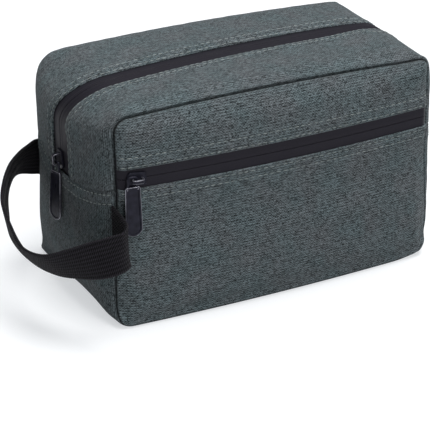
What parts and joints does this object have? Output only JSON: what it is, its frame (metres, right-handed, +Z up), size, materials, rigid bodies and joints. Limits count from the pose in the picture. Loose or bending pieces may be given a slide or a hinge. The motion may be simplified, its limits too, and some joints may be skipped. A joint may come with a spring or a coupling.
{
  "type": "toiletry bag",
  "caption": "Box-shaped padded fabric toiletry bag with a zip over the top, a zipped front pocket, hanging metal pullers and a webbing wrist loop on one end.",
  "frame": {"origin": "centre of the flat base, on the surface the bag stands on", "axes": "+X along the length away from the wrist loop, -Y out of the front pocket, +Z up"},
  "size_m": [0.2738, 0.1541, 0.1438],
  "materials": {
    "outer_fabric": "heather weave",
    "lining": "smooth",
    "foam": "open cell",
    "binding": "woven",
    "zip_tape": "laminated",
    "zip_coil": "satin",
    "slider": "satin black",
    "puller": "satin black",
    "webbing": "ribbed weave"
  },
  "bodies": {
    "bag": {"front_panel_upper": "outer_fabric", "front_panel_lower": "outer_fabric", "back_panel": "outer_fabric", "top_gusset_front": "outer_fabric", "top_gusset_rear": "outer_fabric", "base_gusset": "outer_fabric", "pocket_backing": "lining", "front_foam": "foam", "front_lining": "lining", "back_foam": "foam", "back_lining": "lining", "base_foam": "foam", "base_lining": "lining", "top_lining_front": "lining", "top_lining_rear": "lining", "front_binding": "binding", "back_binding": "binding", "main_zip_tape_front": "zip_tape", "main_zip_tape_rear": "zip_tape", "main_zip_coil_front": "zip_coil", "main_zip_coil_rear": "zip_coil", "front_zip_tape_upper": "zip_tape", "front_zip_tape_lower": "zip_tape", "front_zip_coil_upper": "zip_coil", "front_zip_coil_lower": "zip_coil", "wrist_strap": "webbing"},
    "main_slider_body": {"main_slider": "slider"},
    "main_puller_body": {"main_puller": "puller"},
    "front_slider_body": {"front_slider": "slider"},
    "front_puller_body": {"front_puller": "puller"}
  },
  "joints": [
    {"name": "main_slider_travel", "type": "slide", "parent": "bag", "child": "main_slider_body", "axis": [0, 0, 1], "range_m": [0, 0.0165]},
    {"name": "main_puller_flip", "type": "hinge", "parent": "main_slider_body", "child": "main_puller_body", "pos_m": [-0.1183, 0, 0.08665], "axis": [-0.309, 0.9511, 0], "range_deg": [0, 165]},
    {"name": "front_slider_travel", "type": "hinge", "parent": "bag", "child": "front_slider_body", "pos_m": [0, 0.90549, 0.097], "axis": [0, 0, 1], "range_deg": [0, 11.05]},
    {"name": "front_puller_swing", "type": "hinge", "parent": "front_slider_body", "child": "front_puller_body", "pos_m": [-0.09738, -0.06775, 0.097], "axis": [-0.0963, -0.9954, 0], "range_deg": [-2, 24]}
  ]
}
